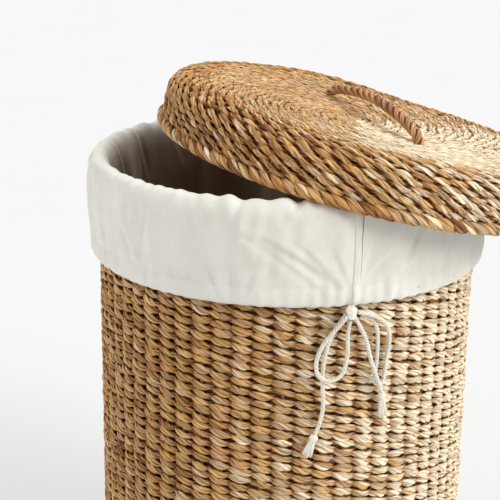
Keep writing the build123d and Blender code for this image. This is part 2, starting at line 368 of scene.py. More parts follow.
def cord_look():
    """Bleached cotton cord, with painted shade between the strands of its twist."""
    look, tree, shader = new_look("cotton_cord", 0.8, 0.15)
    strand = attribute(tree, "strand", "Vector")
    fibres = noise(tree, stretched(tree, strand, (300, 2500, 2500)), 1.0, 2.0)
    base = ramp(tree, fibres, [(0.3, srgb(232, 223, 203)), (0.6, srgb(253, 249, 238))])
    # painted shade: darker where the twisted strands turn away from the outside
    shade = ramp(tree, attribute(tree, "shade_lift"), [(0.3, 0.4), (0.66, 0.78), (0.9, 1.0)])
    paint(tree, shader, mix(tree, 1.0, base, shade, "MULTIPLY"), fibres, 0.5, 0.3 * MM)
    shader.inputs["Sheen Weight"].default_value = 0.3
    return look


def cane_look(name, tint):
    """Split cane or willow: fine grain along it."""
    look, tree, shader = new_look(name, 0.5, 0.35)
    place = add_node(tree, "TexCoord").outputs["Object"]
    grain = noise(tree, stretched(tree, place, (700, 700, 90)), 1.0, 4.0)
    dark = tuple(c * 0.6 for c in tint)
    paint(tree, shader, ramp(tree, grain, [(0.3, dark), (0.7, tint)]), grain, 0.3, 0.4 * MM)
    return look


# ---- woven rows ----
def scattered(random, low, high, where, stretches):
    """A random number for each stretch of each strand; where is the stretch that each point is in."""
    return np.take_along_axis(random.uniform(low, high, (len(where), stretches)), where, axis=1)


def woven_rows(name, rows, columns, swing, slant, tall, deep, look, body, seed,
               place=None, first=0, twined=False, pale=0.0, neck=0.5, stagger=0.0):
    """Weft over and under the stakes, on a surface of revolution.

    rows are (radius, height, normal's r, normal's z). swing is how far the weft stands out at a
    stake, slant how far a stitch climbs across it, and tall and deep are its half sizes there.
    first is the first row's number. A twined row is two strands that cross between the stakes.
    pale is how much lighter the grass is made than the rest; on the lid's crown this is partly paler grass
    and partly painted light from above. neck is a strand's width between stakes, as a share of tall.
    stagger turns each row past the one before, in radians of the weave's wave."""
    random = np.random.default_rng(seed)
    rows = np.repeat(np.asarray(rows, float), 2 if twined else 1, axis=0)
    strands = len(rows)
    count = columns * points_per_stitch
    angle = evenly_round(count)

    def each_row(low, high, factor, shared=2):
        """Smooth noise along each strand, the same for the strands that share a seed."""
        return np.stack([ripple(angle, low, high, seed * factor + k // shared) for k in range(strands)])

    sway = each_row(2, columns // 3, 100)
    row = (np.arange(strands) // 2 if twined else np.arange(strands)) + first
    phase = columns / 2 * angle[None] + 0.24 * sway + stagger * row[:, None]
    place_in_row = phase * 2 / (2 * pi)
    stake = np.round(place_in_row).astype(int) % columns
    gap = np.floor(place_in_row).astype(int) % columns
    parity = np.where((np.arange(strands) + first) % 2, -1, 1)[:, None]
    wave = np.cos(phase) * parity
    over = np.sign(wave) * np.abs(wave) ** 0.8
    lean = np.sin(phase) * parity
    peak = np.abs(wave)

    def each(low, high, where=stake):
        """A random number for each stitch, or for each gap between stakes."""
        return scattered(random, low, high, where, columns)

    hank = scattered(random, 0, 1, stake // 6, columns // 6 + 1)
    rise = -slant * lean * each(0.5, 1.5, gap) + peak * each(-0.5, 0.5) * tall * 0.5
    rise = rise + each_row(3, 14, 77) * tall * 0.1
    stand = swing * (over + 0.1) + peak * each(-1, 1) * deep * 0.25
    radius, height, normal_r, normal_z = (rows[:, k, None] for k in range(4))
    r = radius + normal_r * stand - normal_z * rise
    z = height + normal_z * stand + normal_r * rise
    centre, out = polar(r, angle, z), polar(normal_r, angle, normal_z)
    wide = tall * (neck + (1 - neck) * peak ** 0.85) * (1 + peak * each(-0.26, 0.16))
    thick = deep * (0.85 + 0.15 * over)
    twist = -round(columns / 1.9) * angle[None] + random.uniform(0, 2 * pi, (strands, 1))
    twist = twist + each_row(3, columns // 3, 55, shared=1) * 1.1
    centre, out, wide, thick = leaves(centre, out, wide, thick, twist)
    own = each(0, 1)
    tones = [0.42 * each(0, 1) + 0.28 * own + 0.16 * hank + 0.14 * each(0, 1, gap) for _ in range(leaf_count)]
    tone = np.concatenate(tones)
    rare = np.concatenate([each(0, 1) for _ in range(leaf_count)])
    tone = np.where(rare < 0.035, 0.04 + tone * 0.2, tone)
    # painted light: grass tone made paler on the side that the key light comes from
    painted_light = 0.5 + 0.5 * np.cos(angle - painted_light_side)
    tone = tone * (1 - pale) + pale + 0.78 * painted_light ** 4 - 0.03
    # painted shade: strands darker where they pass behind the stakes, lighter where they stand out
    shade_lift = np.tile(0.5 + 0.5 * over, (leaf_count, 1))
    return strand_piece(name, centre, out, wide, thick, tone, shade_lift, look, body, "seagrass",
                        sides=6, place=place, ridge=0.07)


def rope_ring(name, radius, middle, half_r, half_z, strands, turns, wide, deep, look, body, seed,
              place=None, hand=1):
    """Strands wound round a ring of oval section, like a plaited border.

    radius and middle place the section, half_r and half_z are its half sizes, wide and deep are a
    strand's, and hand is 1 or -1 for the way they turn."""
    random = np.random.default_rng(seed)
    per_turn = 14
    count = turns * per_turn
    angle = evenly_round(count)
    start = evenly_round(strands)[:, None]
    roll = start + hand * turns * angle[None]
    visit = np.floor((roll + pi) / (2 * pi)).astype(int) % turns

    def each(low, high):
        return scattered(random, low, high, visit, turns)

    facing = 0.5 + 0.5 * np.cos(roll)
    r = radius + (half_r - deep) * np.cos(roll) - deep * facing * each(0, 0.5)
    z = middle + (half_z - deep) * np.sin(roll)
    centre = polar(r, angle, z)
    out = unit(polar(np.cos(roll) / half_r, angle, np.sin(roll) / half_z))
    lens = 0.4 + 0.6 * facing ** 0.8
    wide, deep = wide * lens * each(0.85, 1.1), deep * np.ones_like(r)
    twist = round(turns * 0.8) * angle[None] + random.uniform(0, 2 * pi, (strands, 1))
    tone = np.concatenate([each(0.05, 1) for _ in range(leaf_count)])
    # painted shade: the plait's strands darker where they turn in under the ring
    shade_lift = np.tile(0.5 + 0.5 * facing, (leaf_count, 1))
    return strand_piece(name, *leaves(centre, out, wide, deep, twist), tone, shade_lift,
                        look, body, "seagrass", sides=6, place=place, ridge=0.07)


def lining(name, rows, look, body, seed, place=None):
    """The inner layer of weave: flat strands laid close, behind the outer one."""
    return woven_rows(name, rows, 14, swing=0.5 * MM, slant=0.4 * MM, tall=3.9 * MM, deep=1.3 * MM,
                      look=look, body=body, seed=seed, place=place, neck=0.95)


def basket_wall(look):
    """The woven wall, in bands, and its inner layer."""
    pitch = 4.25 * MM
    count = int((wall_high - wall_low - 3.0 * MM) / pitch) + 1
    start = (wall_high + wall_low - (count - 1) * pitch) / 2
    middle = wall_radius - 6.7 * MM
    rows = [(middle, start + k * pitch, 1.0, 0.0) for k in range(count)]
    per_band = most_stitches // stake_count
    for k in range(0, count, per_band):
        band = woven_rows(f"wall_weave_{k // per_band + 1}", rows[k:k + per_band], stake_count,
                          swing=3.5 * MM, slant=1.6 * MM, tall=4.5 * MM, deep=2.0 * MM,
                          look=look, body="basket", seed=11 + k, first=k)
        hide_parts("outer_weft", "inner_weft")
    count = int((wall_high - wall_low) / lining_pitch) + 1
    top = wall_high + 2.0 * MM
    rows = [(wall_radius - lining_depth, top - k * lining_pitch, 1.0, 0.0) for k in range(count)]
    per_band = 31              # about a third of the rows
    for k in range(0, count, per_band):
        band = lining(f"wall_lining_{k // per_band + 1}", rows[k:k + per_band], look, "basket", 201 + k)
        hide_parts("inner_weft")


def basket_borders(look):
    """The plaits round the open end and the foot."""
    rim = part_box("rim_border")
    rim_wide = 4.55 * MM
    top = rope_ring("rim_plait", rim[1].x - rim_wide, (rim[0].z + rim[1].z) / 2, rim_wide,
                    (rim[1].z - rim[0].z) / 2 - 0.6 * MM, strands=4, turns=36, wide=5.6 * MM,
                    deep=1.7 * MM, look=look, body="basket", seed=5)
    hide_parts("rim_border")
    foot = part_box("foot_border")
    foot_wide = 7.1 * MM
    low = rope_ring("foot_plait", foot[1].x - foot_wide, foot[1].z / 2 + 0.3 * MM, foot_wide,
                    foot[1].z / 2 - 0.9 * MM, strands=4, turns=34, wide=6.2 * MM,
                    deep=2.2 * MM, look=look, body="basket", seed=6)
    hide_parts("foot_border")


def basket_base(look):
    """Concentric weft over and under the base's sticks."""
    low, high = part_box("base_under_weave")[0].z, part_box("base_upper_weave")[1].z
    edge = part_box("base_upper_weave")[1].x
    pitch = 5.2 * MM
    count = int((edge - 5 * MM) / pitch)
    rows = [(edge - 2.6 * MM - k * pitch, (low + high) / 2, 0.0, 1.0) for k in range(count)]
    stitches_round = 40
    outer = most_stitches // stitches_round
    for name, part, columns in (
        ("base_weave_outer", rows[:outer], stitches_round),
        ("base_weave_inner", rows[outer:], stitches_round // 2),
    ):
        disc = woven_rows(name, part, columns, swing=3.9 * MM, slant=0.8 * MM, tall=2.7 * MM,
                          deep=1.9 * MM, look=look, body="basket", seed=31, first=len(part))
        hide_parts("base_under_weave", "base_upper_weave")


# ---- lid ----
def eased(share):
    """0 to 1, level at both ends."""
    share = np.clip(share, 0, 1)
    return share * share * (3 - 2 * share)


def on_lid(points):
    """Places in the lid's own frame, put where the lid rests.

    The weave's middle lies off the lid's middle, and the crown sags a little towards the back."""
    x, y, z = points.T.copy()
    reach = np.hypot(x, y) / (194 * MM)
    drift = np.clip(1 - reach ** 2, 0, 1) ** 2 * eased((z / MM - 30) / 10) * 32 * MM
    towards = radians(236)
    x = x + drift * cos(towards)
    y = y + drift * sin(towards)
    x = x * (1 - 0.016 * eased(-x / (200 * MM)))
    sag = 8.5 * MM * eased((x / MM + 60) / 130) * eased(y / (150 * MM)) * eased((z / MM - 12) / 30)
    return placed(np.stack([x, y, z - sag], axis=1), lid_place)


def lid_line(depth):
    """A line in the lid, depth below its outside, from the border up the skirt to the middle."""
    shoulder, dish = 23.0 * MM, 6.0 * MM
    skirt_top = lid_height - shoulder
    inside = lid_wall_radius - shoulder
    line = [(lid_wall_radius - depth, z) for z in np.linspace(lid_border_height, skirt_top, 12)]
    for turn in np.linspace(0, pi / 2, 24)[1:]:
        reach = shoulder - depth
        line.append((inside + reach * cos(turn), skirt_top + reach * sin(turn)))
    for share in np.linspace(0, 1, 60)[1:]:
        fall = dish * (3 * share ** 2 - 2 * share ** 3)
        line.append((inside * (1 - share), lid_height - depth - fall))
    return np.array(line)


def lid_rows(first, last, pitch, depth=5.3 * MM):
    """Rows of weft along the lid's line, with the surface's outward direction."""
    line = lid_line(depth)
    along = distances(line)
    at = np.arange(first, min(last, along[-1]) - pitch / 4, pitch)
    r, z = np.interp(at, along, line[:, 0]), np.interp(at, along, line[:, 1])
    step = unit(np.stack([np.gradient(r), np.gradient(z)], axis=1))
    return np.stack([r, z, step[:, 1], -step[:, 0]], axis=1)


def lid_weave(look):
    """Twined rows from the border to the middle, and the inner layer."""
    # Name, first and last distance along the lid's line, pitch, stitches in a row, and then each
    # stitch's swing, slant, tall and deep, in millimetres.
    zones = [
        ("lid_side_weave", 3.8, 38.0, 5.7, 72, 2.6, 2.3, 3.25, 2.0),
        ("lid_skirt_weave", 38.0, 72.0, 5.7, 68, 2.4, 2.2, 3.25, 2.0),
        ("lid_shoulder_weave", 72.0, 106.0, 5.8, 58, 2.0, 2.1, 3.4, 1.9),
        ("lid_crown_weave", 106.0, 154.0, 6.1, 40, 1.6, 2.2, 3.7, 1.8),
        ("lid_crown_inner_weave", 154.0, 203.0, 6.2, 24, 1.6, 2.1, 3.8, 1.8),
        ("lid_crown_centre_weave", 203.0, 260.0, 6.2, 12, 1.6, 1.8, 3.7, 1.8),
    ]
    for seed, (name, first, last, pitch, columns, swing, slant, tall, deep) in enumerate(zones):
        rows = lid_rows(first * MM, last * MM, pitch * MM)
        most = most_stitches // (2 * columns)
        for k in range(0, len(rows), most):
            # the crown's rows are made lighter and the side's a little darker: partly the grass's colour,
            # partly painted light from above
            piece = woven_rows(f"{name}_{k // most + 1}", rows[k:k + most], columns, swing * MM, slant * MM,
                               tall * MM, deep * MM, look, "lid", 51 + 10 * seed + k, place=on_lid,
                               first=k, twined=True, pale=-0.08 if first < 70 else 0.46, neck=0.56,
                               stagger=1.89)
            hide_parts("lid_outer_weft", "lid_inner_weft")
    rows = lid_rows(4.0 * MM, 240.0 * MM, lining_pitch, 8.4 * MM)
    inner = lining("lid_lining", rows, look, "lid", 97, place=on_lid)
    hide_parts("lid_inner_weft")


def lid_edge(look):
    """The plait round the lid's open side."""
    border_radius = 214.4 * MM
    edge = rope_ring("lid_plait", border_radius, lid_border_height / 2, 6.6 * MM, 6.4 * MM, strands=3,
                     turns=37, wide=4.7 * MM, deep=2.3 * MM, look=look, body="lid", seed=8,
                     place=on_lid, hand=-1)
    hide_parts("lid_border")


def lid_spokes(look):
    """The uprights inside the lid's weave."""
    spoke_count, first_spoke, spoke_end = 30, radians(2.6), 21 * MM
    line = lid_line(5.3 * MM)
    line = line[line[:, 0] > spoke_end]
    turn = first_spoke + evenly_round(spoke_count)[:, None]
    centre = polar(line[None, :, 0], turn, line[None, :, 1])
    beside = np.broadcast_to(polar(1, turn + pi / 2, 0), centre.shape)
    spokes = strand_piece("lid_spokes", centre, beside, 1.3 * MM, 1.3 * MM, 0.3, 0.4, look, "lid",
                          "stake", closed=False, sides=6, ridge=0.0, place=on_lid)
    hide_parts("lid_stakes")


# Half of the handle's middle, from its end in the knot: distance from the lid's axis, height in
# the lid, in millimetres.
handle_route = [
    (97.0, 36.9), (95.6, 47.0), (91.5, 53.6), (84.0, 57.8), (60.0, 63.2), (30.0, 67.4), (0.0, 68.8),
]


def lid_handle(look):
    """A twisted rope lying low over the crown, and the knots that hold it below."""
    far_half = [(-reach, 0, height) for reach, height in handle_route]
    near_half = [(reach, 0, height) for reach, height in reversed(handle_route[:-1])]
    line = smooth_line(np.array(far_half + near_half) * MM, 190)
    upward = np.broadcast_to(np.array([0.0, 1.0, 0.0]), line.shape)
    place = lid_place @ Matrix.Rotation(handle_heading, 4, "Z")
    turned = np.array(place.to_3x3())
    # painted shade: the rope's strands darkened strongly towards their sides, between the turns
    rope = twisted("handle_rope_strands", placed(line, place), upward @ turned.T, 5.6 * MM, -38.0 * MM,
                   look, "lid", "rope", 3, 0.47, sides=12, groove_shade=0.62)
    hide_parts("handle_rope")
    knot_reach, knot_height = handle_route[0][0] * MM, lid_height - 24.8 * MM
    for side, name in ((-1, "handle_knot_far"), (1, "handle_knot_near")):
        middle = placed(np.array([side * knot_reach, 0, knot_height]), place)
        knot = wrapped_knot(name, middle, 10.4 * MM, 3.4 * MM, turned, look, "lid", "rope", 6)
        if side < 0:               # the node is both knots
            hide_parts("handle_knots")


# ---- ropes, cords and knots ----
def twisted(name, line, upward, size, lay, look, body, slot, seed, fill, sides=7, groove_shade=0.32):
    """Three strands twisted round a line.

    size is the whole rope's half width, fill a strand's share of it, and lay the length of one
    turn, below zero for the other hand."""
    strands = 3
    forward = unit(np.gradient(line, axis=0))
    across = unit(np.cross(forward, upward))
    upward = np.cross(across, forward)
    along = distances(line)
    thick = size * fill
    start = evenly_round(strands)[:, None]
    roll = start + 2 * pi * along[None] / lay
    cos_roll, sin_roll = np.cos(roll)[..., None], np.sin(roll)[..., None]
    out = across[None] * cos_roll + upward[None] * sin_roll
    centre = line[None] + out * (size - thick)
    random = np.random.default_rng(seed)
    marks = int(along[-1] / abs(lay)) + 3
    visit = np.floor((roll - pi / 2) / (2 * pi)).astype(int) % marks
    tone = scattered(random, 0.15, 0.85, visit, marks)
    return strand_piece(name, centre, out, thick, thick, tone, 1.0, look, body, slot,
                        closed=False, sides=sides, ridge=0.08, groove_shade=groove_shade)


def wrapped_knot(name, middle, size, thick, axes, look, body, slot, rings):
    """A round knot: a few turns of rope laid over each other."""
    angle = evenly_round(40)
    centre = []
    for k in range(rings):
        lean = 2.4 * k
        normal = unit(np.array([sin(lean) * 0.75, cos(lean) * 0.75, 0.65 + 0.35 * cos(1.7 * k)]))
        side = unit(np.cross(normal, [0.3, 0.2, 1.0]))
        other = np.cross(normal, side)
        reach = (size - thick) * (0.92 + 0.08 * sin(3.1 * k))
        ring = reach * (np.cos(angle)[:, None] * side + np.sin(angle)[:, None] * other)
        centre.append(ring @ axes.T + middle)
    centre = np.array(centre)
    out = unit(centre - middle)
    tone = 0.3 + 0.5 * ((np.arange(rings) * 0.618) % 1)[:, None]
    return strand_piece(name, centre, out, thick, thick * 0.9, tone, 1.0, look, body, slot, sides=8)


def on_wall(side, down, out):
    """A place beside the wall, in millimetres from the knot's middle."""
    angle = knot_angle - pi / 2 + side / (wall_radius / MM + 5)
    reach = wall_radius + out * MM
    return Vector((reach * cos(angle), reach * sin(angle), knot_middle.z - down * MM))


def cord_line(route):
    """Points along the smooth line of a cord's route."""
    curve = bpy.data.curves.new("route", "CURVE")
    curve.dimensions = "3D"
    spline = curve.splines.new("NURBS")
    spline.points.add(len(route) - 1)
    for point, place in zip(spline.points, route):
        point.co = (*on_wall(*place), 1)
    spline.order_u = 3
    spline.use_endpoint_u = True
    spline.resolution_u = 10
    holder = bpy.data.objects.new("route", curve)
    mesh = bpy.data.meshes.new_from_object(holder)
    line = np.array([v.co for v in mesh.vertices], float)
    bpy.data.objects.remove(holder)
    bpy.data.curves.remove(curve)
    bpy.data.meshes.remove(mesh)
    return line


# Each route runs from the knot: sideways along the wall, down from the knot's middle, and out
# from the wall, in millimetres.
left_loop = [
    (-4.5, 4.5, 12.5), (-10, 13, 11), (-17.5, 22.5, 9), (-25, 33, 7.8), (-30, 45, 7.5),
    (-31.2, 56, 7.5), (-28.5, 64.4, 7.5), (-21.4, 69.7, 7.5), (-12.6, 69.7, 7.5),
    (-5.5, 64.4, 7.5), (-2.8, 56, 7.5), (-1.2, 45, 7.6), (-1.6, 33, 8), (-2.4, 21.5, 9),
    (-1, 10.5, 10.5),
]
left_tail = [
    (-4, 4, 7.8), (-9, 12.5, 5.5), (-15, 24, 3.6), (-19.6, 36, 3), (-22.4, 50, 3),
    (-23.6, 64, 3), (-23.3, 78, 3), (-21.8, 92, 3), (-22.8, 105, 3.4), (-26, 116.5, 4.4),
    (-30, 126, 5.6),
]
right_loop = [
    (5, 1, 12.5), (12, 2.8, 12.5), (20, 5.8, 12), (28.5, 10.5, 11), (36.2, 17, 8.8),
    (41.6, 26.5, 6.2), (43.8, 37.5, 4.4), (43, 48.5, 3.4), (41.4, 59, 3), (40.5, 69, 3),
    (39.8, 76, 3), (38.2, 79.8, 3), (34.5, 81.3, 3), (30.8, 79.8, 3), (29.3, 76, 3),
    (29.8, 68.5, 3), (31, 58, 3), (31.4, 46.5, 3), (31, 35, 3.6), (29.4, 24, 5),
    (25.4, 14.8, 6.4), (18.6, 9, 7.2), (10, 6, 7.6),
]
right_tail = [
    (3.5, 6.5, 9), (8.5, 14.5, 7.5), (13.5, 23.5, 6.3), (17.8, 33, 5.6), (20.8, 43, 5.3),
    (23.2, 53.5, 5.8), (26.6, 63.5, 6.8), (30.2, 73, 7.6), (33.4, 82, 7.6), (35.6, 89, 7),
]
left_tip, right_tip = (-37, 147, 6), (39, 114.5, 6)


def cord_piece(name, route, look):
    """A twisted cotton cord along a route, and the line that it follows."""
    line = cord_line(route)
    upward = unit(line * (1, 1, 0))
    piece = twisted(name, line, upward, 0.56 * cord_width, 10.5 * MM, look, "liner", "cord", 4, 0.52)
    return piece, line


def tassel(name, start, tip, look, seed):
    """Frayed strands from an end knot."""
    random = np.random.default_rng(seed)
    fibres, steps = 46, 7
    down = unit(np.array(tip) - start)
    length = np.linalg.norm(np.array(tip) - start)
    side = unit(np.cross(down, start * (1, 1, 0)))
    away = np.cross(side, down)
    spread = random.uniform(-1, 1, (fibres, 2))
    reach = length * random.uniform(0.86, 1.02, fibres)
    at = np.linspace(0, 1, steps)[None, :, None]
    flare = (0.45 + 0.55 * at ** 0.8)
    wave = np.sin(at * random.uniform(2, 7, (fibres, 1, 1)) + random.uniform(0, 6, (fibres, 1, 1)))
    centre = (
        start + down * at * reach[:, None, None]
        + side * spread[:, :1, None] * flare * 4.6 * MM
        + away * spread[:, 1:, None] * flare * 2.6 * MM
        + side * wave * at * 0.5 * MM
    )
    out = np.broadcast_to(away, centre.shape)
    thin = 0.8 * MM * (1.1 - 0.4 * at[..., 0])
    return strand_piece(name, centre, out, thin, thin, 0.5, 1.0, look, "liner", "cord",
                        closed=False, sides=5, ridge=0.0)


def drawcord_bow(look):
    """The bow at the front: its knot, two loops, and two tails with end knots and tassels."""
    axes = np.array(Matrix.Rotation(knot_angle, 3, "Z"))
    for name, drop, size in (("bow_knot_wraps", 0.0, 5.9 * MM), ("bow_knot_lower_wraps", 4.6 * MM, 5.2 * MM)):
        middle = np.array(knot_middle) - (0, 0, drop)
        knot = wrapped_knot(name, middle, size, 1.9 * MM, axes, look, "liner", "cord", 5)
        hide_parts("bow_knot")
    for name, route, length in (("left_loop", left_loop, 0.149), ("right_loop", right_loop, 0.194)):
        piece, line = cord_piece(name + "_cord", route, look)
        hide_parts(name)
    for side, route, tip, length in (
        ("left", left_tail, left_tip, 0.128),
        ("right", right_tail, right_tip, 0.089),
    ):
        piece, line = cord_piece(side + "_tail_cord", route, look)
        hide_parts(side + "_tail")
        low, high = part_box(side + "_end_knot")
        middle = np.array((low + high) / 2)
        end_knot = wrapped_knot(side + "_end_knot_wraps", middle, 4.7 * MM, 1.6 * MM, axes, look,
                                "liner", "cord", 4)
        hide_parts(side + "_end_knot")
        ends = tassel(side + "_tassel_strands", middle, on_wall(*tip), look, 21)
        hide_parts(side + "_tassel")


# ---- liner ----
liner_section = [
    (183.9, 16.6), (183.9, 160), (183.9, 330), (183.9, 480), (184.3, 499), (185.3, 508),
    (187.6, 514.4), (191.8, 518.4), (197.4, 519.2), (202.6, 516.6), (206.2, 510.6),
    (207.4, 503), (207.2, 485), (206.3, 462), (204.9, 447), (204.0, 436), (203.9, 428),
    (203.5, 421.6), (201.8, 419.4),
]

# Creases in the cuff, each from one place to another: degrees from the front towards +X and
# millimetres down from the fold's crest; then the crease's half width and depth in millimetres.
creases = [
    (-7.0, 37.0, 11.5, 80.0, 4.5, 1.5), (3.0, 45.0, 14.0, 86.0, 3.6, 1.0),
    (12.0, 50.0, 16.5, 88.0, 2.6, 0.9), (-12.0, 32.0, 9.0, 88.0, 4.0, 0.8),
    (21.0, 84.0, 29.0, 55.0, 3.4, 1.2), (23.0, 90.0, 36.0, 72.0, 3.6, 1.1),
    (19.8, 80.0, 25.0, 33.0, 2.6, 0.8), (-12.0, 6.0, -13.5, 38.0, 3.0, 1.1),
    (5.0, 1.0, -3.0, 28.0, 3.4, 1.0), (-31.5, 72.0, -31.2, 98.0, 2.6, 1.0),
    (-21.0, 66.0, -17.5, 98.0, 3.0, 1.1), (-13.6, 70.0, -13.8, 98.0, 2.4, 0.9),
    (-8.0, 74.0, -10.5, 98.0, 2.4, 0.8), (-49.5, 52.0, -45.0, 80.0, 3.4, 1.2),
    (-62.0, 34.0, -60.0, 74.0, 3.8, 1.2), (-38.0, 20.0, -41.0, 58.0, 3.2, 0.7),
    (-27.0, 10.0, -24.0, 44.0, 3.0, 0.7), (40.0, 20.0, 34.0, 66.0, 3.6, 1.0),
    (52.0, 40.0, 47.0, 92.0, 3.6, 1.1), (-75.0, 50.0, -79.0, 95.0, 3.6, 1.0),
    (66.0, 30.0, 70.0, 84.0, 3.6, 1.0), (95.0, 20.0, 90.0, 80.0, 4.0, 1.2),
    (130.0, 30.0, 124.0, 92.0, 4.0, 1.2), (170.0, 16.0, 176.0, 70.0, 4.0, 1.2),
    (-120.0, 24.0, -114.0, 86.0, 4.0, 1.2), (-150.0, 40.0, -154.0, 96.0, 4.0, 1.2),
    (-88.0, -44.0, -84.0, 12.0, 3.6, 1.1), (-104.0, -52.0, -99.0, 10.0, 4.2, 1.3),
    (-122.0, -60.0, -116.0, 6.0, 4.2, 1.3), (-138.0, -56.0, -133.0, 4.0, 4.6, 1.3),
]


class Cuff:
    """The liner's surface: its section, and how far the cloth stands off it everywhere."""

    def __init__(self):
        self.line = smooth_line(np.array(liner_section) * MM, 900)
        self.along = distances(self.line)
        self.crest = self.along[self.line[:, 1].argmax()]
        self.start, self.end = -self.crest, self.along[-1] - self.crest
        step = unit(np.gradient(self.line, axis=0))
        self.normal = np.stack([-step[:, 1], step[:, 0]], axis=1)

    def stand(self, angle, at):
        """How far the cloth stands off its section; at is the distance outward from the crest."""
        def near(middle, width):
            return np.exp(-(((at - middle) / MM / width) ** 2))

        def turned(degrees, width):
            gap = (angle - radians(degrees) + pi) % (2 * pi) - pi
            return np.exp(-((gap / radians(width)) ** 2))

        inside = np.clip((-at / MM - 8) / 50, 0, 1)
        outside = np.clip((at / MM - 6) / 30, 0, 1) * np.clip((self.end - at) / MM / 12, 0, 1)
        deep = (3.8 + 3.6 * ripple(angle, 7, 20, 3, at / MM, 0.004)
                + 1.2 * ripple(angle, 25, 60, 4, at / MM, 0.01))
        folds = inside * np.maximum(deep, 0.12 * deep)
        uneven = 0.8 + 0.2 * ripple(angle, 4, 11, 17)
        scallops = near(1 * MM, 12) * uneven * (
            0.9 * ripple(angle, 12, 30, 5) + 0.9 * ripple(angle, 33, 70, 6)
            + 0.5 * ripple(angle, 70, 110, 16))
        hang = outside * (1.1 * ripple(angle, 10, 28, 7, at / MM, 0.02)
                          + 0.4 * ripple(angle, 30, 70, 8, at / MM, 0.05))
        knot_side = turned(-90 + knot_degrees, 13)
        gathers = near(self.end - 9 * MM, 15) * (0.85 + 0.8 * knot_side) * (
            0.3 + 0.7 * ripple(angle, 60, 110, 9, at / MM, 0.012))
        stitched = -0.55 * near(self.end - stitch_line, 1.5) * (0.45 + 0.55 * turned(-78, 26))
        crumple = np.clip((at / MM + 20) / 20, 0, 1) * 0.4 * ripple(angle, 30, 100, 10, at / MM, 0.2, 16)
        settled = -1.4 * turned(195, 50) * near(24 * MM, 26)
        creased = self.creased(angle, at)
        return (folds + scallops + hang + gathers + stitched + crumple + settled + creased) * MM

    def creased(self, angle, at):
        """The creases: a hollow with a low swell on its upper side, in millimetres."""
        round_cuff = cuff_radius / MM
        total = np.zeros(np.broadcast(angle, at).shape)
        for first, start, last, stop, width, depth in creases:
            middle = radians(-90 + (first + last) / 2)
            x = ((angle - middle + pi) % (2 * pi) - pi) * round_cuff
            y = at / MM - (start + stop) / 2
            run, drop = radians(last - first) * round_cuff, stop - start
            long = np.hypot(run, drop)
            along = (x * run + y * drop) / long
            aside = (x * drop - y * run) / long
            bow = aside + 0.0016 * along ** 2
            ends = np.exp(-((along / (0.52 * long)) ** 4))
            swell, hollow = np.exp(-((bow / width - 1.1) ** 2)), np.exp(-((bow / width) ** 2))
            total = total + ends * depth * (swell - 1.5 * hollow)
        return total

    def points(self, angle, at, proud=0.0):
        """Places on the cloth, or proud of it."""
        angle, at = np.broadcast_arrays(angle, at)
        s = at + self.crest
        r, z, n_r, n_z = (np.interp(s, self.along, v) for v in
                          (self.line[:, 0], self.line[:, 1], self.normal[:, 0], self.normal[:, 1]))
        off = self.stand(angle, at) + proud
        return polar(r + n_r * off, angle, z + n_z * off)


def grid_faces(rows, columns, closed=True):
    """Faces between rows of points, closed round each row or open."""
    index = np.arange(rows * columns).reshape(rows, columns)
    right = np.roll(index, -1, axis=1) if closed else index[:, 1:]
    left = index if closed else index[:, :-1]
    return np.stack([left[:-1], right[:-1], right[1:], left[1:]], axis=-1).reshape(-1, 4)


def mark_cloth(piece, wide, long, shade):
    """Stores each point's place on the flat cloth, and how much painted shade it takes."""
    store(piece, "cloth", np.stack(np.broadcast_arrays(wide, long, 0), axis=-1).reshape(-1, 3))
    store(piece, "shade", shade)


def thicken(piece, thickness):
    """Gives a sheet its thickness, half to each side."""
    made = piece.modifiers.new("thickness", "SOLIDIFY")
    made.thickness = thickness
    made.offset = 0.0


def liner_cloth(cuff, look):
    """The liner's cloth, with a face and a back, from the bottom over the rim to the cuff's edge."""
    columns = 460
    angle = evenly_round(columns)[None]
    at = np.concatenate([np.linspace(cuff.start, -80 * MM, 18, endpoint=False),
                         np.linspace(-80 * MM, -24 * MM, 18, endpoint=False),
                         np.linspace(-24 * MM, cuff.end, 70)])[:, None]
    half_thick = 0.35 * MM
    sides = np.stack([cuff.points(angle, at, half_thick), cuff.points(angle, at, -half_thick)])
    index = np.arange(2 * len(at) * columns).reshape(2, len(at), columns)
    face = grid_faces(len(at), columns)
    back = face[:, ::-1] + len(at) * columns
    edges = []
    for row, order in ((0, 1), (-1, -1)):
        edge = [index[0, row], index[1, row], np.roll(index[1, row], -1), np.roll(index[0, row], -1)]
        edges.append(np.stack(edge, axis=-1)[:, ::order])
    faces = np.concatenate([face, back, *edges])
    cloth = new_piece("liner_cloth", sides.reshape(-1, 3), faces, look, "liner")
    # painted shade: the inner face tinted darker and browner deeper inside the liner, unevenly; the back gets
    # none
    patches = 0.10 * ripple(angle, 9, 26, 18, at / MM, 0.01)
    shade = np.clip((-at / MM - 5) / 30, 0, 1) * (0.9 + patches)
    wide = np.broadcast_to(angle * 0.2, sides.shape[:3])
    mark_cloth(cloth, wide, at, np.stack([np.clip(shade, 0, 1), 0 * shade]))
    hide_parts("liner_panel")
    liner_base(look)


